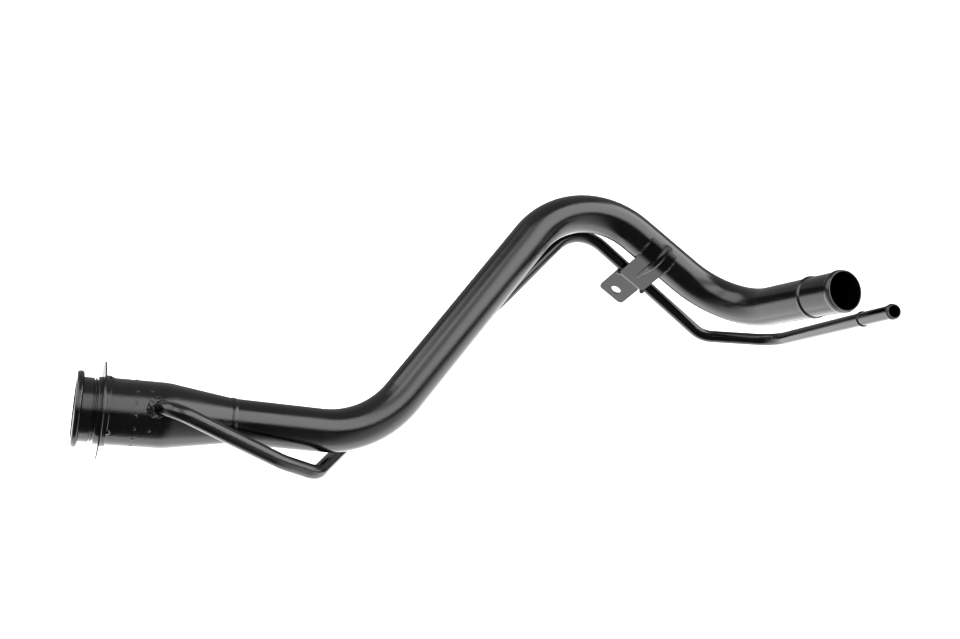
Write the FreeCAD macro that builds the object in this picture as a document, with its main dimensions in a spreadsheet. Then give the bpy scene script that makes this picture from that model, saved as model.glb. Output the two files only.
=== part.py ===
# Fuel filler neck for a car, in millimetres.
# The origin is on the head's axis at the back of the rim. X runs along the head into the neck
# and Z is up.
import FreeCAD, Part
import math
import os
import Sketcher
from FreeCAD import Placement, Rotation, Vector

doc = FreeCAD.newDocument("fuel_filler_neck")
sheet = doc.addObject("Spreadsheet::Sheet", "dim")

SIZES = [
    ("wall", 1.2, "sheet of the head and of the main tube"),
    ("barrel_diameter", 52.0, "barrel behind the rim"),
    ("rim_flange", 4.9, "rim beyond the barrel"),
    ("rim_diameter", "=barrel_diameter + 2 * rim_flange", "rolled rim of the mouth"),
    ("rim_thickness", 5.2, "rim, along the head"),
    ("rim_round", 2.0, "rounding of the rim"),
    ("barrel_length", 8.0, "barrel behind the rim, along the head"),
    ("groove_depth", 1.6, "rolled groove below the barrel"),
    ("groove_diameter", "=barrel_diameter - 2 * groove_depth", "floor of the rolled groove"),
    ("groove_width", 3.1, "rolled groove, along the head"),
    ("ring_wire", 1.4, "wire of the ring in the groove"),
    ("ring_opening", 8.0, "degrees left open between the ring's ends"),
    ("body_step", 1.2, "sleeve and body beyond the barrel"),
    ("body_diameter", "=barrel_diameter + 2 * body_step", "sleeve and body of the head"),
    ("body_end", 65.4, "rim to the start of the cone"),
    ("cone_end", 119.0, "rim to the small end of the cone"),
    ("cone_round", 60.0, "rounding where the cone starts"),
    ("cap_ring_front", 1.0, "mouth to the cap ring"),
    ("cap_ring_wall", 1.6, "sheet of the cap ring"),
    ("cap_ring_length", 8.6, "cap ring, along the head"),
    ("cap_ring_lip", 3.8, "lip of the cap ring, inward from the barrel's wall"),
    ("cap_ring_bore", "=barrel_diameter - 2 * wall - 2 * cap_ring_lip", "hole of the cap ring"),
    ("notch_width", 12.0, "notches for the ears of the cap"),
    ("pan_front", 36.9, "rim to the front edge of the restrictor"),
    ("pan_depth", 12.0, "skirt of the restrictor"),
    ("pan_round", 3.0, "outside rounding of the restrictor"),
    ("nozzle_bore", 22.0, "hole for the nozzle"),
    ("nozzle_length", 5.0, "short tube behind the restrictor's pan"),
    ("plate_flange", 12.3, "retainer plate beyond the body"),
    ("plate_diameter", "=body_diameter + 2 * plate_flange", "retainer plate"),
    ("plate_sheet", 1.2, "sheet of the retainer plate"),
    ("plate_station", 14.4, "rim to the front of the retainer plate"),
    ("collar_wall", 1.6, "collar of the retainer plate"),
    ("collar_length", 5.2, "retainer plate to the end of its collar"),
    ("collar_round", 1.4, "bend between the plate and its collar"),
    ("tack_diameter", 5.0, "weld tacks of the collar"),
    ("tube_diameter", 38.0, "main tube"),
    ("tube_bend_low", 90.0, "radius of the low bend, at the tube's middle"),
    ("tube_bend_top", 86.0, "radius of the top bend, at the tube's middle"),
    ("tube_bend_end", 71.0, "radius of the bend before the outlet, at the tube's middle"),
    ("stop_bead_back", 42.0, "outlet to the stop bead"),
    ("stop_bead_width", 5.0, "stop bead of the main tube"),
    ("stop_bead_height", 1.4, "stop bead above the main tube"),
    ("end_bead_width", 7.0, "raised end of the main tube"),
    ("end_bead_height", 1.0, "raised end above the main tube"),
    ("vent_diameter", 12.7, "breather tube"),
    ("vent_wall", 1.0, "sheet of the breather tube"),
    ("vent_reach", 1.5, "breather tube inside the head's wall"),
    ("vent_stop_back", 49.5, "end of the breather tube to its stop bead"),
    ("vent_stop_width", 3.0, "stop bead of the breather tube"),
    ("vent_stop_height", 1.1, "stop bead above the breather tube"),
    ("vent_end_width", 4.5, "raised end of the breather tube"),
    ("vent_end_height", 0.9, "raised end above the breather tube"),
    ("lip_round", 0.4, "edges of the tubes' ends"),
    ("seam_width", 5.0, "weld round the seam of the head and the main tube"),
    ("seam_height", 0.7, "weld above the seam"),
    ("vent_weld_leg", 2.5, "weld round the root of the breather tube"),
    ("bracket_station", 113.0, "corner of the top bend to the middle of the bracket"),
    ("bracket_tilt", 25.7, "degrees that the bracket's plate slopes down from level"),
    ("bracket_sheet", 2.0, "sheet of the bracket"),
    ("bracket_width", 32.0, "bracket, along the main tube"),
    ("bracket_aside", 2.0, "middle of the saddle towards the top bend"),
    ("bracket_lean", 3.8, "degrees that the bracket leans along the main tube"),
    ("saddle_wrap", 74.0, "degrees of the main tube under the saddle"),
    ("ear_wrap", 52.0, "degrees of the main tube under the two ears"),
    ("ear_width", 6.0, "ears of the saddle"),
    ("tongue_wrap", 80.0, "degrees of the main tube under the middle tongue"),
    ("tongue_width", 12.0, "middle tongue of the saddle"),
    ("rib_radius", 4.2, "rib on the saddle"),
    ("rib_tip", 1.8, "rib at its small end"),
    ("rib_length", 24.0, "rib on the flat of the plate"),
    ("rib_sink", 0.6, "middle of the rib under the face of the plate"),
    ("vent_offset", 35.2, "middle of the main tube to the breather tube, along the plate"),
    ("vent_after_bracket", 100.0, "middle of the bracket to the breather tube's next corner"),
    ("fold_round", 2.0, "inside radius of the fold at the tab"),
    ("fold_step", 12.7, "front of the plate to the front of the tab"),
    ("tab_reach", 91.0, "middle of the main tube to the end of the tab"),
    ("tab_corner", 5.0, "corners of the tab"),
    ("bolt_bore", 11.0, "hole in the tab"),
    ("bolt_edge", 13.4, "end of the tab to the middle of the hole"),
    ("bead_radius", 1.7, "welds of the bracket's ears"),
    ("vent_tack", 2.6, "radius of the tacks on the breather tube"),
    ("flap_overlap", 2.2, "door beyond the nozzle hole"),
    ("flap_diameter", "=nozzle_bore + 2 * flap_overlap", "door behind the nozzle hole"),
    ("flap_sheet", 1.2, "sheet of the door"),
    ("flap_gap", 0.3, "nozzle hole's tube to the shut door"),
    ("pin_diameter", 2.0, "hinge pin"),
    ("pin_clearance", 0.05, "door's knuckles round the pin, each side"),
    ("knuckle_wall", 1.0, "knuckles of the door"),
    ("knuckle_length", 3.6, "each knuckle of the door"),
    ("hinge_rise", 3.2, "hinge pin above the edge of the door"),
    ("arm_root", 4.0, "arm of the door, inward from its edge"),
    ("ear_gap", 0.4, "door's knuckles to the ears of the hinge bracket"),
    ("ear_sheet", 1.2, "sheet of the hinge bracket"),
    ("ear_radius", 2.8, "ears round the pin"),
    ("spring_wire", 0.6, "wire of the flap's spring"),
    ("spring_turns", 4.0, "turns of the flap's spring"),
    ("spring_clearance", 0.2, "spring round the pin, each side"),
    ("spring_gap", 0.1, "one turn of the spring to the next"),
    ("low_x", 242.4, "low corner of the main tube, along the head"),
    ("low_y", 2.0, "low corner of the main tube, away from the near side"),
    ("low_z", -3.6, "low corner of the main tube, up"),
    ("top_x", 443.1, "top corner of the main tube, along the head"),
    ("top_y", 53.6, "top corner of the main tube, away from the near side"),
    ("top_z", 261.8, "top corner of the main tube, up"),
    ("last_x", 621.5, "last corner of the main tube, along the head"),
    ("last_y", 21.0, "last corner of the main tube, away from the near side"),
    ("last_z", 149.0, "last corner of the main tube, up"),
    ("outlet_x", 624.1, "outlet of the main tube, along the head"),
    ("outlet_y", -145.3, "outlet of the main tube, away from the near side"),
    ("outlet_z", 170.0, "outlet of the main tube, up"),
    ("root_x", 50.8, "start of the breather tube, along the head"),
    ("root_y", -14.0, "start of the breather tube, away from the near side"),
    ("root_z", 6.9, "start of the breather tube, up"),
    ("side_x", 68.1, "breather corner beside the head, along the head"),
    ("side_y", -44.9, "breather corner beside the head, away from the near side"),
    ("side_z", 8.5, "breather corner beside the head, up"),
    ("sag_x", 160.2, "breather corner before its lowest, along the head"),
    ("sag_y", -29.5, "breather corner before its lowest, away from the near side"),
    ("sag_z", -28.5, "breather corner before its lowest, up"),
    ("dip_x", 193.1, "lowest breather corner, along the head"),
    ("dip_y", -16.5, "lowest breather corner, away from the near side"),
    ("dip_z", -37.4, "lowest breather corner, up"),
    ("under_x", 249.4, "breather corner behind the low bend, along the head"),
    ("under_y", 76.0, "breather corner behind the low bend, away from the near side"),
    ("under_z", -11.0, "breather corner behind the low bend, up"),
    ("climb_x", 387.6, "breather corner behind the straight run, along the head"),
    ("climb_y", 66.6, "breather corner behind the straight run, away from the near side"),
    ("climb_z", 142.8, "breather corner behind the straight run, up"),
    ("crest_x", 459.8, "breather corner under the top bend, along the head"),
    ("crest_y", 73.4, "breather corner under the top bend, away from the near side"),
    ("crest_z", 224.5, "breather corner under the top bend, up"),
    ("turn_x", 682.2, "breather corner beyond the last bend, along the head"),
    ("turn_y", 22.3, "breather corner beyond the last bend, away from the near side"),
    ("turn_z", 128.1, "breather corner beyond the last bend, up"),
    ("vent_end_x", 638.0, "end of the breather tube, along the head"),
    ("vent_end_y", -192.3, "end of the breather tube, away from the near side"),
    ("vent_end_z", 152.7, "end of the breather tube, up"),
    ("side_bend", 16.0, "radius of the breather corner beside the head"),
    ("sag_bend", 60.0, "radius of the breather corner before its lowest"),
    ("dip_bend", 20.0, "radius of the lowest breather corner"),
    ("under_bend", 40.0, "radius of the breather corner behind the low bend"),
    ("climb_bend", 120.0, "radius of the breather corner behind the straight run"),
    ("crest_bend", 40.0, "radius of the breather corner under the top bend"),
    ("bracket_bend", 30.0, "radius of the breather corner after the bracket"),
    ("turn_bend", 30.0, "radius of the breather corner beyond the last bend"),
]
for row, (alias, value, note) in enumerate(SIZES, start=1):
    sheet.set(f"A{row}", alias)
    sheet.set(f"B{row}", str(value))
    sheet.setAlias(f"B{row}", alias)
    sheet.set(f"C{row}", note)
doc.recompute()

AHEAD = Vector(1, 0, 0)
BACK = Vector(-1, 0, 0)
ASIDE = Vector(0, 1, 0)
UP = Vector(0, 0, 1)
ORIGIN = Vector(0, 0, 0)


def size(alias):
    return float(sheet.get(alias))


def point(name):
    return Vector(size(name + "_x"), size(name + "_y"), size(name + "_z"))


wall = size("wall")
tube_radius = size("tube_diameter") / 2
body_radius = size("body_diameter") / 2
vent_radius = size("vent_diameter") / 2

# The routes: where the straight runs of each tube would meet, and the bend at each corner.
tube_start = AHEAD * size("cone_end")
TUBE_TOP = point("top")
TUBE_LAST = point("last")
TUBE_OUTLET = point("outlet")
tube_corners = [
    (point("low"), size("tube_bend_low")),
    (TUBE_TOP, size("tube_bend_top")),
    (TUBE_LAST, size("tube_bend_end")),
]
VENT_ROOT = point("root")
VENT_OUTLET = point("vent_end")

# The bracket's own directions: along the main tube, down its plate, and into its plate.
along = (TUBE_LAST - TUBE_TOP).normalize()
level = UP.cross(along).normalize()
tilt = math.radians(size("bracket_tilt"))
down_plate = level * math.cos(tilt) - along.cross(level) * math.sin(tilt)
into_plate = along.cross(down_plate)
saddle = TUBE_TOP + along * size("bracket_station")
vent_line = saddle + down_plate * size("vent_offset") - into_plate * (tube_radius - vent_radius)

VENT_TOP = point("crest")
after_bracket = vent_line + (vent_line - VENT_TOP).normalize() * size("vent_after_bracket")
vent_corners = [(point(name), size(name + "_bend")) for name in ("side", "sag", "dip", "under", "climb")]
vent_corners += [
    (VENT_TOP, size("crest_bend")),
    (after_bracket, size("bracket_bend")),
    (point("turn"), size("turn_bend")),
]


def plane_of(body, role):
    return next(item for item in body.Origin.OriginFeatures if item.Role == role)


def hold_corner(sketch, kind, index, start, expression):
    number = sketch.addConstraint(Sketcher.Constraint(kind, -1, 1, index, 1, start))
    sketch.setExpression(f"Constraints[{number}]", expression)


def outline_sketch(body, name, role, corners):
    """Closed outline of straight lines, each corner held by two expressions on the sheet."""
    sketch = body.newObject("Sketcher::SketchObject", name)
    sketch.AttachmentSupport = [(plane_of(body, role), "")]
    sketch.MapMode = "FlatFace"
    count = len(corners)
    places = []
    for index in range(count):
        angle = math.tau * index / count
        places.append(Vector(40 - 10 * math.cos(angle), 40 + 10 * math.sin(angle), 0))
    for index in range(count):
        sketch.addGeometry(Part.LineSegment(places[index], places[(index + 1) % count]), False)
    for index in range(count):
        sketch.addConstraint(Sketcher.Constraint("Coincident", index, 2, (index + 1) % count, 1))
    for index, (across, up) in enumerate(corners):
        if across == "0":
            sketch.addConstraint(Sketcher.Constraint("PointOnObject", index, 1, -2))
        else:
            hold_corner(sketch, "DistanceX", index, places[index].x, across)
        hold_corner(sketch, "DistanceY", index, places[index].y, up)
    return sketch


def turned(name, corners):
    """Body turned about the X axis from an outline of (station, radius) expressions."""
    body = doc.addObject("PartDesign::Body", name + "_body")
    sketch = outline_sketch(body, name + "_outline", "XY_Plane", corners)
    turn = body.newObject("PartDesign::Revolution", name + "_turn")
    turn.Profile = sketch
    turn.ReferenceAxis = (sketch, ["H_Axis"])
    turn.Angle = 360
    body.Tip = turn
    doc.recompute()
    return body


def round_rings(body, name, places, radius):
    """Fillet on the round edges of a turned body at the given stations and radii."""
    base = body.Tip
    picked = []
    for number, edge in enumerate(base.Shape.Edges, start=1):
        if not isinstance(edge.Curve, Part.Circle):
            continue
        here = (edge.Curve.Center.x, edge.Curve.Radius)
        if any(math.dist(here, place) < 0.01 for place in places):
            picked.append(f"Edge{number}")
    fillet = body.newObject("PartDesign::Fillet", name)
    fillet.Base = (base, picked)
    fillet.setExpression("Radius", radius)
    body.Tip = fillet
    doc.recompute()


def label(item, name):
    item.Label = name
    return item


def shape_piece(name, shape):
    piece = doc.addObject("Part::Feature", name)
    piece.Shape = shape
    piece.Placement = Placement()
    return label(piece, name)


def primitive(kind, name, expressions, place):
    piece = doc.addObject(kind, name)
    for prop, expression in expressions.items():
        piece.setExpression(prop, expression)
    piece.Placement = place
    return piece


def cut(name, base, tool):
    piece = doc.addObject("Part::Cut", name)
    piece.Base = base
    piece.Tool = tool
    return piece


def facing(direction):
    """Rotation that turns Z to a direction."""
    return Rotation(UP, direction)


def rod(radius, start, end):
    return Part.makeCylinder(radius, (end - start).Length, start, end - start)


def bent_rod(radius, start, corners, end):
    """Solid rod of straight runs joined by tangent arcs."""
    pieces = []
    here = start
    before = start
    for index, (corner, bend) in enumerate(corners):
        after = corners[index + 1][0] if index + 1 < len(corners) else end
        incoming = (corner - before).normalize()
        outgoing = (after - corner).normalize()
        turn = incoming.getAngle(outgoing)
        reach = bend * math.tan(turn / 2)
        arc_start = corner - incoming * reach
        side = (outgoing - incoming * incoming.dot(outgoing)).normalize()
        section = Part.Face(Part.Wire(Part.makeCircle(radius, arc_start, incoming)))
        elbow = section.revolve(arc_start + side * bend, incoming.cross(outgoing), math.degrees(turn))
        pieces += [rod(radius, here, arc_start), elbow]
        here = corner + outgoing * reach
        before = corner
    pieces.append(rod(radius, here, end))
    return pieces[0].multiFuse(pieces[1:]).removeSplitter()


def ring_bead(radius, width, height, middle, direction):
    """Rounded ring standing proud of a tube, closed a little inside its surface."""
    foot = radius - wall / 2
    sides = [
        Vector(-width / 2, foot, 0),
        Vector(-width / 2, radius, 0),
        Vector(0, radius + height, 0),
        Vector(width / 2, radius, 0),
        Vector(width / 2, foot, 0),
    ]
    crown = Part.Arc(sides[1], sides[2], sides[3]).toShape()
    edges = [
        Part.makeLine(sides[0], sides[1]),
        crown,
        Part.makeLine(sides[3], sides[4]),
        Part.makeLine(sides[4], sides[0]),
    ]
    ring = Part.Face(Part.Wire(edges)).revolve(ORIGIN, AHEAD, 360)
    ring.Placement = Placement(middle, Rotation(AHEAD, direction))
    return ring


def hollow_tube(radius, inner, start, corners, end, beads):
    """Bent tube with its beads, each bead a (distance from the end, width, height)."""
    outward = (end - corners[-1][0]).normalize()
    rings = [
        ring_bead(radius, width, height, end - outward * back, outward)
        for back, width, height in beads
    ]
    outside = bent_rod(radius, start, corners, end).multiFuse(rings)
    tube = outside.cut(bent_rod(inner, start, corners, end))
    rim = [
        edge
        for edge in tube.Edges
        if isinstance(edge.Curve, Part.Circle) and (edge.Curve.Center - end).Length < 0.01
    ]
    return tube.makeFillet(size("lip_round"), rim)


# Head: one formed tube with a rolled rim, a rolled groove, a body and a cone.
groove_end = "dim.barrel_length + dim.groove_width"
head = turned("head", [
    ("-dim.rim_thickness", "dim.rim_diameter / 2"),
    ("0", "dim.rim_diameter / 2"),
    ("0", "dim.barrel_diameter / 2"),
    ("dim.barrel_length", "dim.barrel_diameter / 2"),
    ("dim.barrel_length", "dim.groove_diameter / 2"),
    (groove_end, "dim.groove_diameter / 2"),
    (groove_end, "dim.body_diameter / 2"),
    ("dim.body_end", "dim.body_diameter / 2"),
    ("dim.cone_end", "dim.tube_diameter / 2"),
    ("dim.cone_end", "dim.tube_diameter / 2 - dim.wall"),
    ("dim.body_end", "dim.body_diameter / 2 - dim.wall"),
    (groove_end + " + dim.wall", "dim.body_diameter / 2 - dim.wall"),
    (groove_end + " + dim.wall", "dim.groove_diameter / 2 - dim.wall"),
    ("dim.barrel_length - dim.wall", "dim.groove_diameter / 2 - dim.wall"),
    ("dim.barrel_length - dim.wall", "dim.barrel_diameter / 2 - dim.wall"),
    ("-dim.rim_thickness", "dim.barrel_diameter / 2 - dim.wall"),
])
barrel_radius = size("barrel_diameter") / 2
rim_radius = size("rim_diameter") / 2
mouth = -size("rim_thickness")
round_rings(head, "rim_rounding", [(mouth, rim_radius), (0, rim_radius)], "dim.rim_round")
shoulders = [
    (size("barrel_length"), barrel_radius),
    (size("barrel_length") + size("groove_width"), body_radius),
    (mouth, barrel_radius - wall),
]
round_rings(head, "groove_rounding", shoulders, "dim.wall / 2")
cone_starts = [(size("body_end"), body_radius), (size("body_end"), body_radius - wall)]
round_rings(head, "cone_rounding", cone_starts, "dim.cone_round")

vent_way = (vent_corners[0][0] - VENT_ROOT).normalize()
vent_hole = primitive(
    "Part::Cylinder",
    "vent_hole",
    {"Radius": "dim.vent_diameter / 2", "Height": "dim.body_diameter"},
    Placement(VENT_ROOT, facing(vent_way)),
)
filler_head = label(cut("filler_head", head, vent_hole), "filler_head")

# Spring wire ring that lies in the rolled groove.
groove_ring = primitive(
    "Part::Torus",
    "groove_ring",
    {
        "Radius1": "dim.groove_diameter / 2 + dim.ring_wire / 2",
        "Radius2": "dim.ring_wire / 2",
        "Angle3": "360 - dim.ring_opening",
    },
    Placement(AHEAD * (size("barrel_length") + size("groove_width") / 2), Rotation(ASIDE, 90)),
)
label(groove_ring, "groove_ring")

# Cap ring: pressed into the barrel, with two notches for the ears of the cap.
ring_front = "dim.cap_ring_front - dim.rim_thickness"
ring_back = ring_front + " + dim.cap_ring_length"
cap_ring_outer = "dim.barrel_diameter / 2 - dim.wall"
cap_ring = turned("cap_ring", [
    (ring_front, cap_ring_outer),
    (ring_back, cap_ring_outer),
    (ring_back, cap_ring_outer + " - dim.cap_ring_wall"),
    (ring_front + " + dim.cap_ring_wall", cap_ring_outer + " - dim.cap_ring_wall"),
    (ring_front + " + dim.cap_ring_wall", "dim.cap_ring_bore / 2"),
    (ring_front, "dim.cap_ring_bore / 2"),
])
notch_half = barrel_radius - wall - size("cap_ring_wall")
notch = primitive(
    "Part::Box",
    "cap_notches",
    {
        "Length": "dim.cap_ring_front + dim.cap_ring_wall",
        "Width": "dim.notch_width",
        "Height": "dim.barrel_diameter - 2 * dim.wall - 2 * dim.cap_ring_wall",
    },
    Placement(Vector(mouth, -size("notch_width") / 2, -notch_half), Rotation()),
)
label(cut("cap_ring", cap_ring, notch), "cap_ring")

# Restrictor: a pan spot-welded inside the body, with a short tube for the nozzle.
pan_back = "dim.pan_front + dim.pan_depth"
pan_outer = "dim.body_diameter / 2 - dim.wall"
restrictor = turned("restrictor", [
    ("dim.pan_front", pan_outer),
    (pan_back, pan_outer),
    (pan_back, "dim.nozzle_bore / 2 + dim.wall"),
    (pan_back + " + dim.nozzle_length", "dim.nozzle_bore / 2 + dim.wall"),
    (pan_back + " + dim.nozzle_length", "dim.nozzle_bore / 2"),
    (pan_back + " - dim.wall", "dim.nozzle_bore / 2"),
    (pan_back + " - dim.wall", pan_outer + " - dim.wall"),
    ("dim.pan_front", pan_outer + " - dim.wall"),
])
pan_end = size("pan_front") + size("pan_depth")
nozzle_radius = size("nozzle_bore") / 2
round_rings(restrictor, "pan_rounding", [(pan_end, body_radius - wall)], "dim.pan_round")
pan_inside = [(pan_end - wall, body_radius - 2 * wall)]
round_rings(restrictor, "pan_inside_rounding", pan_inside, "dim.pan_round - dim.wall")
round_rings(restrictor, "nozzle_lead_in", [(pan_end - wall, nozzle_radius)], "dim.wall * 0.9")
label(restrictor, "restrictor")

# Hinge: two ears on the pan, a pin through them, and the door on the pin.
nozzle_end = pan_end + size("nozzle_length")
spring_radius = size("pin_diameter") / 2 + size("spring_clearance") + size("spring_wire") / 2
door_back = nozzle_end + size("flap_gap") + size("flap_sheet")
hinge_height = size("flap_diameter") / 2 + size("hinge_rise")
hinge = Vector(door_back + size("spring_wire") / 2 + spring_radius, 0, hinge_height)
knuckle_outer = size("pin_diameter") / 2 + size("pin_clearance") + size("knuckle_wall")
knuckle_span = 2 * size("knuckle_length") + size("spring_wire") * (size("spring_turns") + 2)
ear_inside = knuckle_span / 2 + size("ear_gap")
ear_outside = ear_inside + size("ear_sheet")
ear_foot = hinge.z - size("ear_radius")
sideways = facing(ASIDE)

base_plate = Part.makeBox(
    size("ear_sheet"),
    2 * ear_outside,
    2 * size("ear_radius") + size("ear_sheet"),
    Vector(pan_end, -ear_outside, ear_foot),
)
flat_of_pan = Part.makeCylinder(body_radius - wall - size("pan_round"), hinge.x, ORIGIN, AHEAD)
ears = [base_plate.common(flat_of_pan)]
for inner_face in (-ear_outside, ear_inside):
    corner = Vector(pan_end, inner_face, ear_foot)
    ears.append(Part.makeBox(hinge.x - pan_end, size("ear_sheet"), 2 * size("ear_radius"), corner))
    middle = Vector(hinge.x, inner_face, hinge.z)
    ears.append(Part.makeCylinder(size("ear_radius"), size("ear_sheet"), middle, ASIDE))
pin_start = hinge - ASIDE * (ear_outside + size("pin_diameter") / 4)
pin_end = hinge + ASIDE * (ear_outside + size("pin_diameter") / 4)
pin_shape = rod(size("pin_diameter") / 2, pin_start, pin_end)
shape_piece("hinge_bracket", ears[0].multiFuse(ears[1:]).removeSplitter().cut(pin_shape))
shape_piece("hinge_pin", pin_shape)

door_front = AHEAD * (nozzle_end + size("flap_gap"))
door = Part.makeCylinder(size("flap_diameter") / 2, size("flap_sheet"), door_front, AHEAD)
arm_width = knuckle_span
arm_foot = size("flap_diameter") / 2 - size("arm_root")
arm = Part.makeBox(
    size("flap_sheet"),
    arm_width,
    hinge.z - arm_foot,
    Vector(door_front.x, -arm_width / 2, arm_foot),
)
window = Part.makeBox(
    4 * knuckle_outer,
    knuckle_span - 2 * size("knuckle_length"),
    2 * knuckle_outer,
    Vector(hinge.x - 2 * knuckle_outer, size("knuckle_length") - knuckle_span / 2, hinge.z - knuckle_outer),
)
knuckle = Part.makeCylinder(knuckle_outer, arm_width, hinge - ASIDE * (arm_width / 2), ASIDE)
knuckle_bore = Part.makeCylinder(
    size("pin_diameter") / 2 + size("pin_clearance"), arm_width, hinge - ASIDE * (arm_width / 2), ASIDE
)
flap = door.multiFuse([arm, knuckle]).removeSplitter().cut(window).cut(knuckle_bore)
shape_piece("flap_door", flap)


# Spring: turns of wire round the pin, one leg on the door and one on the hinge bracket.
def flap_spring():
    wire_radius = size("spring_wire") / 2
    pitch = size("spring_wire") + size("spring_gap")
    coil_height = pitch * size("spring_turns")
    helix = Part.makeHelix(pitch, coil_height, spring_radius)
    ring = Part.Wire(Part.makeCircle(wire_radius, Vector(spring_radius, 0, 0), ASIDE))
    coil = Part.Wire(helix).makePipeShell([ring], True, True)
    coil_start = hinge - ASIDE * (coil_height / 2)
    coil.Placement = Placement(coil_start, Rotation(BACK, UP, ASIDE, "ZXY"))
    door_leg_top = coil_start - AHEAD * spring_radius
    door_leg = rod(wire_radius, door_leg_top, door_leg_top - UP * (hinge.z - arm_foot))
    pan_leg_start = hinge + ASIDE * (coil_height / 2) - AHEAD * spring_radius
    pan_leg_end = Vector(pan_end + size("ear_sheet"), pan_leg_start.y, hinge.z)
    pan_leg = rod(wire_radius, pan_leg_start, pan_leg_end)
    return coil.multiFuse([door_leg, pan_leg])


shape_piece("flap_spring", flap_spring())

# Retainer plate: a round sheet with a collar that is tacked to the head.
plate_back = "dim.plate_station + dim.plate_sheet"
collar_outer = "dim.body_diameter / 2 + dim.collar_wall"
retainer = turned("retainer", [
    ("dim.plate_station", "dim.body_diameter / 2"),
    ("dim.plate_station", "dim.plate_diameter / 2"),
    (plate_back, "dim.plate_diameter / 2"),
    (plate_back, collar_outer),
    (plate_back + " + dim.collar_length", collar_outer),
    (plate_back + " + dim.collar_length", "dim.body_diameter / 2"),
])
collar_radius = body_radius + size("collar_wall")
collar_start = size("plate_station") + size("plate_sheet")
collar_end = collar_start + size("collar_length")
round_rings(retainer, "collar_bend", [(collar_start, collar_radius)], "dim.collar_round")
round_rings(retainer, "collar_edge", [(collar_end, collar_radius)], "dim.collar_wall / 2")
label(retainer, "retainer_plate")

# Tacks at the end of the collar, one of them towards the viewer's side of the head.
TACK_ANGLES = [108.0, 212.0, 320.0]
head_rod = Part.makeCylinder(body_radius, size("cone_end"), ORIGIN, AHEAD)
for number, degrees in enumerate(TACK_ANGLES, start=1):
    spoke = Rotation(AHEAD, degrees).multVec(ASIDE)
    tack = Part.makeSphere(size("tack_diameter") / 2, AHEAD * collar_end + spoke * body_radius)
    tack = tack.cut(head_rod).cut(retainer.Shape)
    shape_piece(f"plate_weld_{number}", max(tack.Solids, key=lambda solid: solid.Volume))

# Main tube: starts flat on the cone's end and stops at the outlet with its beads.
first_run = (tube_corners[0][0] - tube_start).normalize()
behind_seam = Part.makeBox(
    4 * tube_radius,
    4 * tube_radius,
    4 * tube_radius,
    tube_start - Vector(4 * tube_radius, 2 * tube_radius, 2 * tube_radius),
)
tube_beads = [
    (size("stop_bead_back"), size("stop_bead_width"), size("stop_bead_height")),
    (size("end_bead_width") / 2 + 2 * size("lip_round"), size("end_bead_width"), size("end_bead_height")),
]
tube_solid = hollow_tube(
    tube_radius,
    tube_radius - wall,
    tube_start - first_run * wall,
    tube_corners,
    TUBE_OUTLET,
    tube_beads,
).cut(behind_seam)
shape_piece("main_tube", tube_solid)

# Weld round the seam of the head and the main tube. Its foot follows the cone on one side and
# stays clear of the tube's slight turn on the other.
seam_half = size("seam_width") / 2
cone_slope = (body_radius - tube_radius) / (size("cone_end") - size("body_end"))
tube_lift = seam_half * math.tan(first_run.getAngle(AHEAD))
seam_on_cone = tube_start + Vector(-seam_half, tube_radius + cone_slope * seam_half, 0)
seam_crest = tube_start + Vector(0, tube_radius + size("seam_height"), 0)
seam_on_tube = tube_start + Vector(seam_half, tube_radius + tube_lift, 0)
seam_middle = tube_start + Vector(0, tube_radius, 0)
seam_edges = [
    Part.Arc(seam_on_cone, seam_crest, seam_on_tube).toShape(),
    Part.makeLine(seam_on_tube, seam_middle),
    Part.makeLine(seam_middle, seam_on_cone),
]
shape_piece("neck_weld", Part.Face(Part.Wire(seam_edges)).revolve(ORIGIN, AHEAD, 360))

# Breather tube: from inside the head's wall to its own outlet.
vent_beads = [
    (size("vent_stop_back"), size("vent_stop_width"), size("vent_stop_height")),
    (size("vent_end_width") / 2 + 2 * size("lip_round"), size("vent_end_width"), size("vent_end_height")),
]
head_room = Part.makeCylinder(body_radius - wall - size("vent_reach"), size("cone_end"), ORIGIN, AHEAD)
vent_solid = hollow_tube(
    vent_radius,
    vent_radius - size("vent_wall"),
    VENT_ROOT,
    vent_corners,
    VENT_OUTLET,
    vent_beads,
).cut(head_room)
shape_piece("vent_tube", vent_solid)

# Weld round the root of the breather tube.
leg = size("vent_weld_leg")
steepness = vent_way.y**2 + vent_way.z**2
nearing = VENT_ROOT.y * vent_way.y + VENT_ROOT.z * vent_way.z
inside = VENT_ROOT.y**2 + VENT_ROOT.z**2 - body_radius**2
skin_crossing = VENT_ROOT + vent_way * ((math.sqrt(nearing**2 - steepness * inside) - nearing) / steepness)
weld_foot = skin_crossing - vent_way * leg
root_weld = Part.makeCone(vent_radius + 1.3 * leg, vent_radius + leg / 4, 2 * leg, weld_foot, vent_way)
root_weld = root_weld.cut(head_rod).cut(bent_rod(vent_radius, VENT_ROOT, vent_corners, VENT_OUTLET))
shape_piece("vent_weld", max(root_weld.Solids, key=lambda solid: solid.Volume))


# Bracket: one stamping, worked out in its own frame of (along, down_plate, into_plate).
bracket_place = Placement(saddle, Rotation(along, down_plate, into_plate, "ZXY"))


def at(across, down, deep):
    return Vector(across, down, deep)


def arc_point(radius, degrees):
    angle = math.radians(degrees)
    return at(0, -radius * math.sin(angle), -radius * math.cos(angle))


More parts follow.
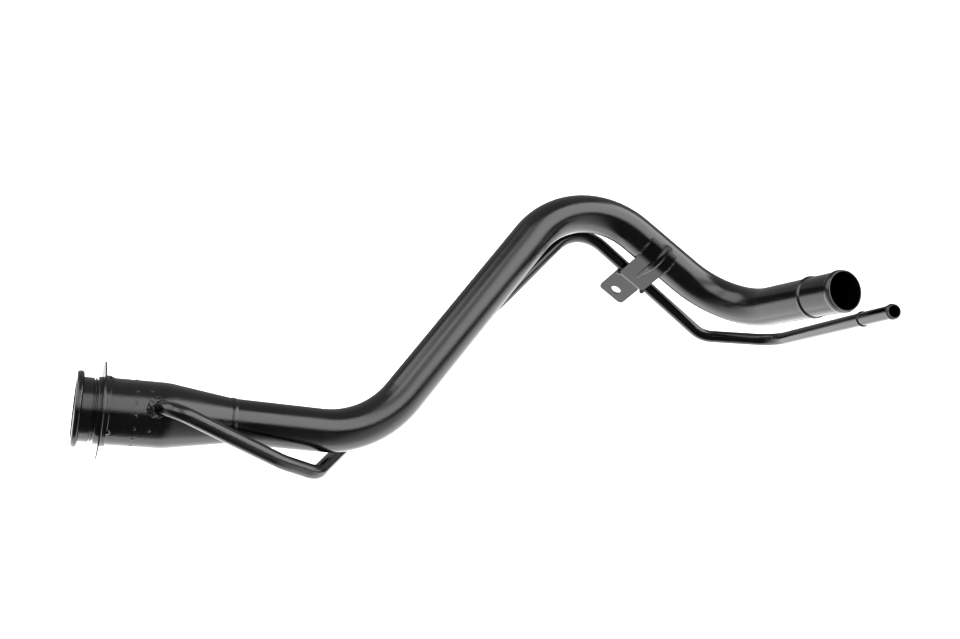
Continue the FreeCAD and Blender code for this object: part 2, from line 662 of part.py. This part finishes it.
def wrapped_strip(degrees, low, high):
    """Strip of the sheet bent round the main tube, from the tangent line to an angle."""
    inner = tube_radius
    outer = tube_radius + size("bracket_sheet")
    outer_points = [arc_point(outer, turn) for turn in (0, degrees / 2, degrees)]
    inner_points = [arc_point(inner, turn) for turn in (degrees, degrees / 2, 0)]
    edges = [
        Part.makeLine(inner_points[2], outer_points[0]),
        Part.Arc(*outer_points).toShape(),
        Part.makeLine(outer_points[2], inner_points[0]),
        Part.Arc(*inner_points).toShape(),
    ]
    strip = Part.Face(Part.Wire(edges)).extrude(at(high - low, 0, 0))
    strip.translate(at(low, 0, 0))
    return strip


def corner_arc(middle, radius, start, stop):
    """Arc in the section of the bracket; angles in degrees from down_plate towards into_plate."""
    places = []
    for degrees in (start, (start + stop) / 2, stop):
        angle = math.radians(degrees)
        places.append(middle + at(0, radius * math.cos(angle), radius * math.sin(angle)))
    return Part.Arc(*places).toShape(), places[0], places[2]


def folded_plate(half):
    """Plate over the breather tube, the fold round it, and the tab."""
    sheet_thick = size("bracket_sheet")
    inner_fold = size("fold_round")
    front = -tube_radius - sheet_thick
    tab_front = front + size("fold_step")
    tab_back = tab_front + sheet_thick
    vent_middle = at(0, size("vent_offset"), -tube_radius + vent_radius)
    web = size("vent_offset") + vent_radius + sheet_thick
    tab_middle = at(0, web + inner_fold, tab_front - inner_fold)
    outer_wrap, outer_first, outer_last = corner_arc(vent_middle, vent_radius + sheet_thick, -90, 0)
    front_fold, front_first, front_last = corner_arc(tab_middle, inner_fold, 180, 90)
    outer_fold = inner_fold + sheet_thick
    back_fold, back_first, back_last = corner_arc(tab_middle, outer_fold, 90, 180)
    inner_wrap, inner_first, inner_last = corner_arc(vent_middle, vent_radius, 0, -90)
    tab_end = size("tab_reach")
    edges = [
        Part.makeLine(at(0, 0, front), outer_first),
        outer_wrap,
        Part.makeLine(outer_last, front_first),
        front_fold,
        Part.makeLine(front_last, at(0, tab_end, tab_front)),
        Part.makeLine(at(0, tab_end, tab_front), at(0, tab_end, tab_back)),
        Part.makeLine(at(0, tab_end, tab_back), back_first),
        back_fold,
        Part.makeLine(back_last, inner_first),
        inner_wrap,
        Part.makeLine(inner_last, at(0, 0, -tube_radius)),
        Part.makeLine(at(0, 0, -tube_radius), at(0, 0, front)),
    ]
    plate = Part.Face(Part.Wire(edges)).extrude(at(2 * half, 0, 0))
    plate.translate(at(-half, 0, 0))
    return plate


def side_at(down, side):
    """Place across of the bracket's edge, side -1 or 1, a distance down its plate."""
    middle = down * math.tan(math.radians(size("bracket_lean"))) - size("bracket_aside")
    return middle + side * size("bracket_width") / 2


def bracket_outline(top):
    """Prism through the bracket with its leaning sides and the tab's round corners."""
    low = size("tab_reach")
    depth = 4 * tube_radius
    corners = [
        at(side_at(top, -1), top, -depth),
        at(side_at(top, 1), top, -depth),
        at(side_at(low, 1), low, -depth),
        at(side_at(low, -1), low, -depth),
    ]
    prism = Part.Face(Part.makePolygon(corners + corners[:1])).extrude(at(0, 0, 2 * depth))
    at_tab_end = [edge for edge in prism.Edges if all(abs(end.Y - low) < 0.01 for end in edge.Vertexes)]
    upright = [edge for edge in at_tab_end if edge.Length > depth]
    return prism.makeFillet(size("tab_corner"), upright)


def rib(shrink):
    """Rib along the middle of the saddle and down the plate, made smaller by a sheet for its hollow."""
    lift = tube_radius + size("bracket_sheet") - size("rib_sink")
    radius = size("rib_radius") - shrink
    tip = size("rib_tip") - shrink / 2
    circle = Part.Face(Part.Wire(Part.makeCircle(radius, at(0, 0, -lift), at(0, 1, 0))))
    over_tube = circle.revolve(ORIGIN, BACK, size("tongue_wrap"))
    on_plate = Part.makeCone(radius, tip, size("rib_length"), at(0, 0, -lift), at(0, 1, 0))
    end = Part.makeSphere(tip, at(0, size("rib_length"), -lift))
    return over_tube.multiFuse([on_plate, end])


def bracket_shape():
    half = size("bracket_width")
    top = -tube_radius - 2 * size("bracket_sheet")
    ear = size("ear_width")
    ear_down = -tube_radius * math.sin(math.radians(size("ear_wrap")))
    low_side = side_at(ear_down, -1)
    high_side = side_at(ear_down, 1)
    tongue = size("tongue_width") / 2
    strips = [
        wrapped_strip(size("saddle_wrap"), -half, half),
        wrapped_strip(size("ear_wrap"), low_side - ear, low_side + ear),
        wrapped_strip(size("ear_wrap"), high_side - ear, high_side + ear),
        wrapped_strip(size("tongue_wrap"), -tongue, tongue),
    ]
    blank = folded_plate(half).multiFuse(strips).common(bracket_outline(top))
    blank = blank.fuse(rib(0)).cut(rib(size("bracket_sheet") * 0.7))
    main_rod = Part.makeCylinder(tube_radius, 4 * half, at(-2 * half, 0, 0), AHEAD)
    bolt_down = size("tab_reach") - size("bolt_edge")
    bolt = Part.makeCylinder(
        size("bolt_bore") / 2,
        4 * tube_radius,
        at((side_at(bolt_down, -1) + side_at(bolt_down, 1)) / 2, bolt_down, -2 * tube_radius),
        UP,
    )
    blank = blank.cut(main_rod).cut(bolt)
    return max(blank.Solids, key=lambda solid: solid.Volume)


bracket_solid = bracket_shape()
bracket_solid.Placement = bracket_place
bracket_solid = bracket_solid.cut(vent_solid)
shape_piece("bracket", max(bracket_solid.Solids, key=lambda solid: solid.Volume))


def ear_bead(side):
    """Weld along the outer edge of an ear and round its corner."""
    radius = size("bead_radius")
    ring = tube_radius + radius / 3
    wrap = size("ear_wrap")
    across = side_at(-tube_radius * math.sin(math.radians(wrap * 0.7)), side)
    start = wrap * 0.3
    circle = Part.Face(Part.Wire(Part.makeCircle(radius, at(across, 0, -ring), at(0, 1, 0))))
    bead = circle.revolve(ORIGIN, BACK, wrap - start)
    bead.rotate(ORIGIN, BACK, start)
    ends = [
        Part.makeSphere(radius, at(across, 0, 0) + arc_point(ring, start)),
        Part.makeSphere(radius, at(across, 0, 0) + arc_point(ring, wrap)),
    ]
    corner = at(across, 0, 0) + arc_point(ring, wrap)
    inboard = corner - at(side * size("ear_width"), 0, 0)
    ends += [rod(radius * 0.8, corner, inboard), Part.makeSphere(radius * 0.8, inboard)]
    weld = bead.multiFuse(ends)
    weld.Placement = bracket_place
    return weld


for side, name in ((-1, "bracket_weld_left"), (1, "bracket_weld_right")):
    weld = ear_bead(side).cut(bracket_solid).cut(tube_solid)
    weld = weld.cut(rod(tube_radius, TUBE_TOP, TUBE_LAST))
    shape_piece(name, max(weld.Solids, key=lambda solid: solid.Volume))

# Tacks from the breather tube to the edges of the bracket's fold.
for side, name in ((-1, "vent_tack_upper"), (1, "vent_tack_lower")):
    down = size("vent_offset") + vent_radius / 2
    middle = at(side_at(down, side), down, -tube_radius - size("bracket_sheet") / 2)
    tack = Part.makeSphere(size("vent_tack"), bracket_place.multVec(middle))
    tack = tack.cut(bracket_solid).cut(vent_solid)
    shape_piece(name, max(tack.Solids, key=lambda solid: solid.Volume))

NODES = [
    "filler_head",
    "groove_ring",
    "cap_ring",
    "restrictor",
    "hinge_bracket",
    "hinge_pin",
    "flap_door",
    "flap_spring",
    "retainer_plate",
    "plate_weld_1",
    "plate_weld_2",
    "plate_weld_3",
    "main_tube",
    "neck_weld",
    "vent_tube",
    "vent_weld",
    "bracket",
    "bracket_weld_left",
    "bracket_weld_right",
    "vent_tack_upper",
    "vent_tack_lower",
]
doc.recompute()
failed = [item.Name for item in doc.Objects if {"Invalid", "Error"} & set(item.State)]
if failed:
    raise RuntimeError(f"these objects did not compute: {failed}")
pieces = {name: doc.getObjectsByLabel(name)[-1] for name in NODES}
for name, piece in pieces.items():
    if piece.Shape.isNull() or not piece.Shape.isValid():
        raise RuntimeError(f"{name} has no valid shape")
os.makedirs("parts", exist_ok=True)
for name, piece in pieces.items():
    piece.Shape.exportStep(f"parts/{name}.step")
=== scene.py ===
import math

import bpy
from mathutils import Matrix, Vector


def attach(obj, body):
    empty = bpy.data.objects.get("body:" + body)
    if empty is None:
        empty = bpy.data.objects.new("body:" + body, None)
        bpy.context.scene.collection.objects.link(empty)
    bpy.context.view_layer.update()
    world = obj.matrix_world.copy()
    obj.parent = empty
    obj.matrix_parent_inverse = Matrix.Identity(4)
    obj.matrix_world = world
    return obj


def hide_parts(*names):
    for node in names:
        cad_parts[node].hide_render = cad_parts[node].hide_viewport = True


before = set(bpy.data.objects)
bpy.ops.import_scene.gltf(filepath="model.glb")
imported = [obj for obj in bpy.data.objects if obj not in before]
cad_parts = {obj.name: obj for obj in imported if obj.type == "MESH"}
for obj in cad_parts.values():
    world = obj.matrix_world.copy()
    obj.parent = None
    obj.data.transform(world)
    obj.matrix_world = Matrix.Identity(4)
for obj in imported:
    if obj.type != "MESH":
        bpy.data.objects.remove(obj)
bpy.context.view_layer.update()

# The camera: about 0.9 m in front of the part's left end, level with it, turned to the right and slightly
# tilted. Its place and turn were fitted to the outlines in the photograph.
SENSOR_WIDTH = 36.0
LENS = 39.375
NEAREST_SEEN = 0.02
FARTHEST_SEEN = 20.0
CAMERA_PLACE = Vector((-0.03023, -0.89452, 0.06832))
camera_data = bpy.data.cameras.new("photo_camera")
camera_data.sensor_width = SENSOR_WIDTH
camera_data.lens = LENS
camera_data.clip_start = NEAREST_SEEN
camera_data.clip_end = FARTHEST_SEEN
camera = bpy.data.objects.new("photo_camera", camera_data)
camera_ahead = Vector((0.37630, 0.92547, 0.04351))
camera_up = Vector((-0.11486, 0.0, 0.99338))
camera_right = camera_ahead.cross(camera_up).normalized()
camera_up = camera_right.cross(camera_ahead)
camera.matrix_world = Matrix((
    (camera_right.x, camera_up.x, -camera_ahead.x, CAMERA_PLACE.x),
    (camera_right.y, camera_up.y, -camera_ahead.y, CAMERA_PLACE.y),
    (camera_right.z, camera_up.z, -camera_ahead.z, CAMERA_PLACE.z),
    (0.0, 0.0, 0.0, 1.0),
))
bpy.context.scene.collection.objects.link(camera)
bpy.context.scene.camera = camera

# The paper sweep: a pale floor well below the part that bends up into a wall behind it. It only closes
# the picture, so nothing of it shows in the gloss.
FLOOR_HALF_WIDTH = 4.0
FLOOR_SHIFT_RIGHT = 0.3
FLOOR_HEIGHT = -0.30
FLOOR_FRONT = -4.0
WALL_DISTANCE = 2.2
WALL_HEIGHT = 4.0
SWEEP_RADIUS = 0.9
SWEEP_STEPS = 12
paper = bpy.data.materials.new("pale_paper")
paper.use_nodes = True
paper_shader = paper.node_tree.nodes["Principled BSDF"]
paper_shader.inputs["Base Color"].default_value = (0.93, 0.93, 0.93, 1.0)
paper_shader.inputs["Roughness"].default_value = 0.9

sweep_start = WALL_DISTANCE - SWEEP_RADIUS
sweep_points = [(FLOOR_FRONT, 0.0), (sweep_start, 0.0)]
for step in range(1, SWEEP_STEPS + 1):
    angle = math.pi / 2 * step / SWEEP_STEPS
    sweep_points.append((
        sweep_start + SWEEP_RADIUS * math.sin(angle),
        SWEEP_RADIUS * (1 - math.cos(angle)),
    ))
sweep_points.append((WALL_DISTANCE, WALL_HEIGHT))
sweep_vertices = [
    (side + FLOOR_SHIFT_RIGHT, along, up + FLOOR_HEIGHT)
    for along, up in sweep_points
    for side in (-FLOOR_HALF_WIDTH, FLOOR_HALF_WIDTH)
]
sweep_faces = [
    (2 * index, 2 * index + 1, 2 * index + 3, 2 * index + 2)
    for index in range(len(sweep_points) - 1)
]
sweep_mesh = bpy.data.meshes.new("floor")
sweep_mesh.from_pydata(sweep_vertices, [], sweep_faces)
for face in sweep_mesh.polygons:
    face.use_smooth = True
sweep_mesh.materials.append(paper)
floor = bpy.data.objects.new("floor", sweep_mesh)
bpy.context.scene.collection.objects.link(floor)
floor.visible_glossy = False

# The light, all of it in the world's nodes: a dim ceiling, a long soft light above the front with two
# dark gaps, which draws the grey bands along the gloss, and the white table, which stops just in front
# of the part and leaves the near side dark. Bearings are degrees from the viewer's side to the right.
CEILING_LIGHT = 0.5
SOFTBOX_LIGHT = 5.6
TABLE_LIGHT = 5.0
BACKDROP_LIGHT = 1.0
SOFTBOX_ROUND = [
    (-125, 0.0), (-112, 0.6), (-70, 0.75), (-60, 0.4), (-42, 0.85), (-24, 0.85), (-19, 0.12),
    (-15, 0.4), (-7, 0.4), (-3, 0.12), (3, 0.7), (20, 0.95), (82, 1.0), (96, 0.0),
]
SOFTBOX_HEIGHTS = [(0.06, 0.0), (0.24, 1.0), (0.83, 1.0), (0.9, 0.0)]
TABLE_ROUND = [
    (-180, 1.0), (-140, 0.85), (-105, 0.5), (-78, 0.1), (-60, 0.02), (20, 0.02), (32, 0.3),
    (55, 0.5), (80, 0.9), (180, 0.6),
]
TABLE_HEIGHTS = [(-0.16, 1.0), (0.02, 0.0)]
CEILING_HEIGHTS = [(0.0, 0.1), (0.4, 1.0)]
studio = bpy.data.worlds.new("studio")
studio.use_nodes = True
studio_nodes = studio.node_tree.nodes
studio_links = studio.node_tree.links
studio_nodes.clear()


def light_math(operation, first, second):
    """The result of one Math node, whose second input is a plain number or another node's output."""
    step = studio_nodes.new("ShaderNodeMath")
    step.operation = operation
    studio_links.new(first, step.inputs[0])
    if isinstance(second, float):
        step.inputs[1].default_value = second
    else:
        studio_links.new(second, step.inputs[1])
    return step.outputs["Value"]


def light_ramp(source, low, high, stops):
    """Brightness along a source that runs from low to high, with soft steps between the stops."""
    spread = studio_nodes.new("ShaderNodeMapRange")
    spread.inputs["From Min"].default_value = low
    spread.inputs["From Max"].default_value = high
    studio_links.new(source, spread.inputs["Value"])
    ramp = studio_nodes.new("ShaderNodeValToRGB")
    for index, (where, level) in enumerate(stops):
        position = (where - low) / (high - low)
        if index < 2:
            stop = ramp.color_ramp.elements[index]
        else:
            stop = ramp.color_ramp.elements.new(position)
        stop.position = position
        stop.color = (level, level, level, 1.0)
    studio_links.new(spread.outputs["Result"], ramp.inputs["Fac"])
    return ramp.outputs["Color"]


def round_ramp(stops):
    """Brightness round the part, with its stops at bearings in degrees."""
    stops_in_radians = [(math.radians(degrees), level) for degrees, level in stops]
    return light_ramp(bearing, math.radians(-180), math.radians(180), stops_in_radians)


def height_ramp(stops):
    """Brightness by height, from -1 straight below to 1 straight above."""
    return light_ramp(direction.outputs["Z"], -1.0, 1.0, stops)


looked_at = studio_nodes.new("ShaderNodeTexCoord")
direction = studio_nodes.new("ShaderNodeSeparateXYZ")
studio_links.new(looked_at.outputs["Generated"], direction.inputs["Vector"])
towards_camera = light_math("MULTIPLY", direction.outputs["Y"], -1.0)
bearing = light_math("ARCTAN2", direction.outputs["X"], towards_camera)
softbox = light_math("MULTIPLY", round_ramp(SOFTBOX_ROUND), height_ramp(SOFTBOX_HEIGHTS))
softbox = light_math("MULTIPLY", softbox, SOFTBOX_LIGHT)
table = light_math("MULTIPLY", round_ramp(TABLE_ROUND), height_ramp(TABLE_HEIGHTS))
table = light_math("MULTIPLY", table, TABLE_LIGHT)
ceiling = light_math("MULTIPLY", height_ramp(CEILING_HEIGHTS), CEILING_LIGHT)
all_lights = light_math("ADD", light_math("ADD", softbox, table), ceiling)
room = studio_nodes.new("ShaderNodeBackground")
studio_links.new(all_lights, room.inputs["Strength"])
backdrop = studio_nodes.new("ShaderNodeBackground")
backdrop.inputs["Color"].default_value = (1.0, 1.0, 1.0, 1.0)
backdrop.inputs["Strength"].default_value = BACKDROP_LIGHT
rays = studio_nodes.new("ShaderNodeLightPath")
chooser = studio_nodes.new("ShaderNodeMixShader")
studio_links.new(rays.outputs["Is Camera Ray"], chooser.inputs["Fac"])
studio_links.new(room.outputs["Background"], chooser.inputs[1])
studio_links.new(backdrop.outputs["Background"], chooser.inputs[2])
sky = studio_nodes.new("ShaderNodeOutputWorld")
studio_links.new(chooser.outputs["Shader"], sky.inputs["Surface"])
bpy.context.scene.world = studio
bpy.context.scene.view_settings.view_transform = "Standard"

# The head, its groove ring and plate, the two tubes and the seam between head and tube: formed and bent
# steel, sprayed together with one gloss black paint, which has a fine grain and dried a little unevenly.
PAINT_IOR = 1.5
PAINT_BLACK = (0.35, (0.0004, 0.0004, 0.0005))
PAINT_HAZE = (0.7, (0.0016, 0.0015, 0.0016))
HAZE_SCALE = 35.0
HAZE_DETAIL = 4.0
GRAIN_SCALE = 900.0
GRAIN_DETAIL = 2.0
GRAIN_DEPTH = 0.0003
GRAIN_STRENGTH = 0.3


def mottled_finish(name, metallic, mottle_scale, mottle_detail, first_tone, last_tone):
    """A finish whose colour drifts with a mottle between two tones, each a position and a colour."""
    finish = bpy.data.materials.new(name)
    finish.use_nodes = True
    nodes = finish.node_tree.nodes
    links = finish.node_tree.links
    shader = nodes["Principled BSDF"]
    shader.inputs["Metallic"].default_value = metallic
    place = nodes.new("ShaderNodeTexCoord")
    place.name = "place"
    mottle = nodes.new("ShaderNodeTexNoise")
    mottle.name = "mottle"
    mottle.inputs["Scale"].default_value = mottle_scale
    mottle.inputs["Detail"].default_value = mottle_detail
    links.new(place.outputs["Object"], mottle.inputs["Vector"])
    tone = nodes.new("ShaderNodeValToRGB")
    for stop, (position, colour) in zip(tone.color_ramp.elements, (first_tone, last_tone)):
        stop.position = position
        stop.color = (*colour, 1.0)
    links.new(mottle.outputs["Fac"], tone.inputs["Fac"])
    links.new(tone.outputs["Color"], shader.inputs["Base Color"])
    return finish


def uneven_sheen(finish, mottle_low, mottle_high, glossiest, dullest):
    """Let the finish's roughness follow its mottle."""
    nodes = finish.node_tree.nodes
    links = finish.node_tree.links
    sheen = nodes.new("ShaderNodeMapRange")
    sheen.inputs["From Min"].default_value = mottle_low
    sheen.inputs["From Max"].default_value = mottle_high
    sheen.inputs["To Min"].default_value = glossiest
    sheen.inputs["To Max"].default_value = dullest
    links.new(nodes["mottle"].outputs["Fac"], sheen.inputs["Value"])
    links.new(sheen.outputs["Result"], nodes["Principled BSDF"].inputs["Roughness"])


def coat(names, finish):
    """Give these solids one finish."""
    for name in names:
        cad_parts[name].data.materials.clear()
        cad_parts[name].data.materials.append(finish)


gloss_paint = mottled_finish("gloss_black_paint", 0.0, HAZE_SCALE, HAZE_DETAIL, PAINT_BLACK, PAINT_HAZE)
uneven_sheen(gloss_paint, mottle_low=0.3, mottle_high=0.7, glossiest=0.10, dullest=0.20)
gloss_nodes = gloss_paint.node_tree.nodes
gloss_links = gloss_paint.node_tree.links
gloss_shader = gloss_nodes["Principled BSDF"]
gloss_shader.inputs["IOR"].default_value = PAINT_IOR
grain = gloss_nodes.new("ShaderNodeTexNoise")
grain.inputs["Scale"].default_value = GRAIN_SCALE
grain.inputs["Detail"].default_value = GRAIN_DETAIL
gloss_links.new(gloss_nodes["place"].outputs["Object"], grain.inputs["Vector"])
relief = gloss_nodes.new("ShaderNodeBump")
relief.inputs["Strength"].default_value = GRAIN_STRENGTH
relief.inputs["Distance"].default_value = GRAIN_DEPTH
gloss_links.new(grain.outputs["Fac"], relief.inputs["Height"])
gloss_links.new(relief.outputs["Normal"], gloss_shader.inputs["Normal"])
coat(("filler_head", "groove_ring", "retainer_plate", "main_tube", "neck_weld", "vent_tube"), gloss_paint)

# The bracket: a stamping of 2 mm steel sheet that is wrapped over the main tube. Its black coat is the
# same as the tubes', but reflects less.
BRACKET_COAT_IOR = 1.38
satin_paint = gloss_paint.copy()
satin_paint.name = "satin_bracket_coat"
satin_paint.node_tree.nodes["Principled BSDF"].inputs["IOR"].default_value = BRACKET_COAT_IOR
coat(("bracket",), satin_paint)

# The short welds: tacks and runs of weld metal under the same paint, which hold the plate, the breather
# tube and the bracket. Each is lumpy where the molten drops overlap, so it is the CAD's weld with a
# rough skin.
SKIN_VOXEL = 0.00035
LUMP_SIZE = 0.0022
LUMP_DEPTH = 2
LUMP_HEIGHT = 0.0016
LUMP_LEVEL = 0.45
SHORT_WELDS = (
    "plate_weld_1", "plate_weld_2", "plate_weld_3", "vent_weld",
    "bracket_weld_left", "bracket_weld_right", "vent_tack_upper", "vent_tack_lower",
)


def bake(piece):
    """Turn what the piece's modifiers show into its plain mesh, with smooth faces."""
    bpy.context.view_layer.update()
    finished = piece.evaluated_get(bpy.context.evaluated_depsgraph_get())
    plain_mesh = bpy.data.meshes.new_from_object(finished)
    piece.modifiers.clear()
    piece.data = plain_mesh
    for face in plain_mesh.polygons:
        face.use_smooth = True


weld_ripple = bpy.data.textures.new("weld_ripple", "CLOUDS")
weld_ripple.noise_scale = LUMP_SIZE
weld_ripple.noise_depth = LUMP_DEPTH
for name in SHORT_WELDS:
    bead = bpy.data.objects.new(name + "_bead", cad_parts[name].data.copy())
    bpy.context.scene.collection.objects.link(bead)
    skin = bead.modifiers.new("skin", "REMESH")
    skin.mode = "VOXEL"
    skin.voxel_size = SKIN_VOXEL
    skin.use_smooth_shade = True
    lumps = bead.modifiers.new("lumps", "DISPLACE")
    lumps.texture = weld_ripple
    lumps.texture_coords = "LOCAL"
    lumps.strength = LUMP_HEIGHT
    lumps.mid_level = LUMP_LEVEL
    bake(bead)
    bead.data.materials.clear()
    bead.data.materials.append(gloss_paint)
    for face in bead.data.polygons:
        face.material_index = 0
    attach(bead, "neck")
    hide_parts(name)

# The spot welds that hold the restrictor: small round prints in the head's skin, in a row round the
# restrictor's skirt, with a second, wider row behind it. Pressed from outside and painted over.
HEAD_SKIN_RADIUS = 0.02718
PRINT_RADIUS = 0.0014
PRINT_HEIGHT = 0.00045
PRINT_SEGMENTS = 20
PRINT_RINGS = 12
SPOT_ROWS = (
    # piece, station along the head, spots in the row, turn of the row in degrees
    ("front_spot_welds", 0.0405, 16, 0),
    ("rear_spot_welds", 0.0517, 5, -66),
)
spot_group = bpy.data.node_groups.new("spot_welds", "GeometryNodeTree")
spot_group.interface.new_socket("Geometry", in_out="OUTPUT", socket_type="NodeSocketGeometry")
spot_inputs = {}
for label, kind, value in (
    ("Count", "NodeSocketInt", 16),
    ("Ring Radius", "NodeSocketFloat", HEAD_SKIN_RADIUS),
    ("Station", "NodeSocketFloat", 0.0405),
    ("Turn", "NodeSocketFloat", 0.0),
    ("Print Radius", "NodeSocketFloat", PRINT_RADIUS),
    ("Print Height", "NodeSocketFloat", PRINT_HEIGHT),
):
    socket = spot_group.interface.new_socket(label, in_out="INPUT", socket_type=kind)
    socket.default_value = value
    spot_inputs[label] = socket.identifier
spot_nodes = spot_group.nodes
spot_links = spot_group.links
spot_in = spot_nodes.new("NodeGroupInput")
spot_out = spot_nodes.new("NodeGroupOutput")

row = spot_nodes.new("GeometryNodeMeshCircle")
spot_links.new(spot_in.outputs["Count"], row.inputs["Vertices"])
spot_links.new(spot_in.outputs["Ring Radius"], row.inputs["Radius"])
row_upright = spot_nodes.new("GeometryNodeTransform")
row_upright.inputs["Rotation"].default_value = (0.0, math.pi / 2, 0.0)
spot_links.new(row.outputs["Mesh"], row_upright.inputs["Geometry"])
station = spot_nodes.new("ShaderNodeCombineXYZ")
spot_links.new(spot_in.outputs["Station"], station.inputs["X"])
spot_links.new(station.outputs["Vector"], row_upright.inputs["Translation"])
row_turned = spot_nodes.new("GeometryNodeTransform")
turn = spot_nodes.new("ShaderNodeCombineXYZ")
spot_links.new(spot_in.outputs["Turn"], turn.inputs["X"])
spot_links.new(turn.outputs["Vector"], row_turned.inputs["Rotation"])
spot_links.new(row_upright.outputs["Geometry"], row_turned.inputs["Geometry"])

print_ball = spot_nodes.new("GeometryNodeMeshUVSphere")
print_ball.inputs["Segments"].default_value = PRINT_SEGMENTS
print_ball.inputs["Rings"].default_value = PRINT_RINGS
print_ball.inputs["Radius"].default_value = 1.0
print_flat = spot_nodes.new("GeometryNodeTransform")
spot_links.new(print_ball.outputs["Mesh"], print_flat.inputs["Geometry"])
print_size = spot_nodes.new("ShaderNodeCombineXYZ")
spot_links.new(spot_in.outputs["Print Radius"], print_size.inputs["X"])
spot_links.new(spot_in.outputs["Print Radius"], print_size.inputs["Y"])
spot_links.new(spot_in.outputs["Print Height"], print_size.inputs["Z"])
spot_links.new(print_size.outputs["Vector"], print_flat.inputs["Scale"])

where = spot_nodes.new("GeometryNodeInputPosition")
outward = spot_nodes.new("ShaderNodeVectorMath")
outward.operation = "MULTIPLY"
outward.inputs[1].default_value = (0.0, 1.0, 1.0)
spot_links.new(where.outputs["Position"], outward.inputs[0])
aim = spot_nodes.new("FunctionNodeAlignEulerToVector")
aim.axis = "Z"
spot_links.new(outward.outputs["Vector"], aim.inputs["Vector"])
put = spot_nodes.new("GeometryNodeInstanceOnPoints")
spot_links.new(row_turned.outputs["Geometry"], put.inputs["Points"])
spot_links.new(print_flat.outputs["Geometry"], put.inputs["Instance"])
spot_links.new(aim.outputs["Rotation"], put.inputs["Rotation"])
real = spot_nodes.new("GeometryNodeRealizeInstances")
spot_links.new(put.outputs["Instances"], real.inputs["Geometry"])
painted = spot_nodes.new("GeometryNodeSetMaterial")
painted.inputs["Material"].default_value = gloss_paint
spot_links.new(real.outputs["Geometry"], painted.inputs["Geometry"])
spot_links.new(painted.outputs["Geometry"], spot_out.inputs["Geometry"])

for name, row_station, count, degrees in SPOT_ROWS:
    spots = bpy.data.objects.new(name, bpy.data.meshes.new(name))
    bpy.context.scene.collection.objects.link(spots)
    maker = spots.modifiers.new("spot_welds", "NODES")
    maker.node_group = spot_group
    maker[spot_inputs["Station"]] = row_station
    maker[spot_inputs["Count"]] = count
    maker[spot_inputs["Turn"]] = math.radians(degrees)
    bake(spots)
    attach(spots, "neck")

# The cap ring, the restrictor, its hinge bracket and the door: pressed from sheet steel with a dull zinc
# plating, whose crystals show as soft patches.
SPANGLE_SCALE = 160.0
SPANGLE_DETAIL = 5.0
ZINC_DARK = (0.3, (0.40, 0.41, 0.42))
ZINC_LIGHT = (0.7, (0.58, 0.58, 0.57))
plated_steel = mottled_finish(
    "zinc_plated_sheet", 1.0, SPANGLE_SCALE, SPANGLE_DETAIL, ZINC_DARK, ZINC_LIGHT,
)
uneven_sheen(plated_steel, mottle_low=0.0, mottle_high=1.0, glossiest=0.3, dullest=0.5)
coat(("cap_ring", "restrictor", "hinge_bracket", "flap_door"), plated_steel)

# The hinge pin and the door's spring: drawn steel wire, cut and wound, without any plating. Fine streaks
# of drawing lubricant leave it darker in places.
STREAK_SCALE = 400.0
STREAK_DETAIL = 2.0
WIRE_DARK = (0.0, (0.22, 0.22, 0.23))
WIRE_LIGHT = (1.0, (0.40, 0.40, 0.40))
WIRE_ROUGHNESS = 0.35
wire_steel = mottled_finish("drawn_wire", 1.0, STREAK_SCALE, STREAK_DETAIL, WIRE_DARK, WIRE_LIGHT)
wire_steel.node_tree.nodes["Principled BSDF"].inputs["Roughness"].default_value = WIRE_ROUGHNESS
coat(("hinge_pin", "flap_spring"), wire_steel)
